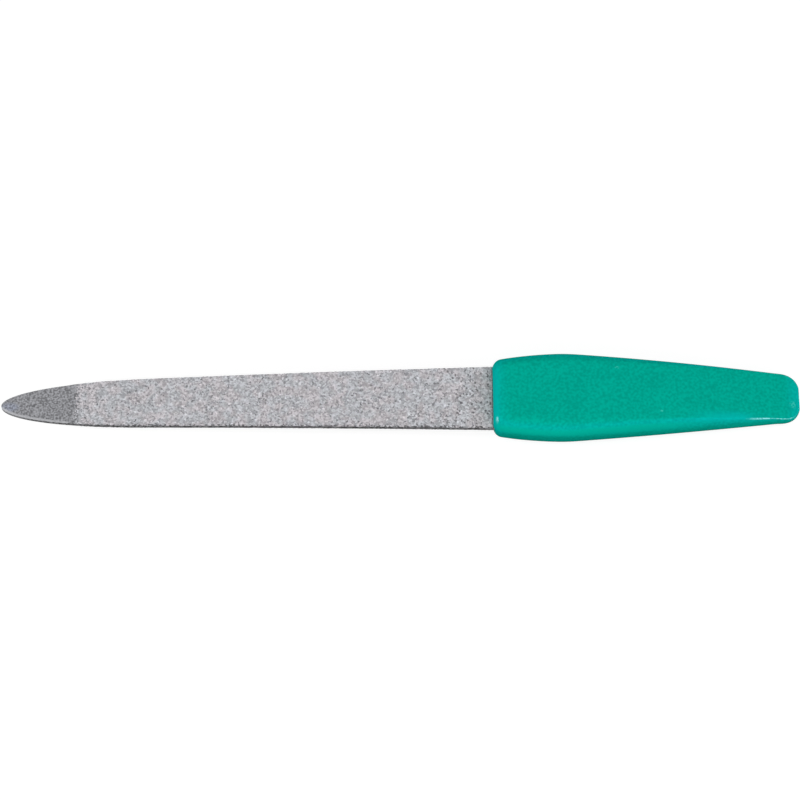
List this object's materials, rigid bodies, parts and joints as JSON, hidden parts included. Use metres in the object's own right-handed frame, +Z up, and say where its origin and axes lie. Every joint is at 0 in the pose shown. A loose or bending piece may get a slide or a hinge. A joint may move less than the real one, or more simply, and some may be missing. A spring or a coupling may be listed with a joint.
{
  "type": "metal nail file",
  "caption": "Slim steel nail file with a rounded point, a bare tip, a grit coat on each face, and a flat tapering moulded handle that bulges near its front.",
  "frame": {"origin": "on the plane that the file lies on, midway between its tip and its tail and midway across it", "axes": "+X along the file from its tip to its handle, +Z up out of the coarse face, +Y across the blade"},
  "size_m": [0.15, 0.017, 0.0064],
  "materials": {
    "steel": "fine blasted, matt",
    "coarse_grit": "coarse light grey mineral grit",
    "fine_grit": "fine grey mineral grit",
    "handle_plastic": "satin moulded teal green"
  },
  "bodies": {
    "root": {"blade": "steel", "coarse_coat": "coarse_grit", "fine_coat": "fine_grit", "handle": "handle_plastic"}
  },
  "joints": []
}
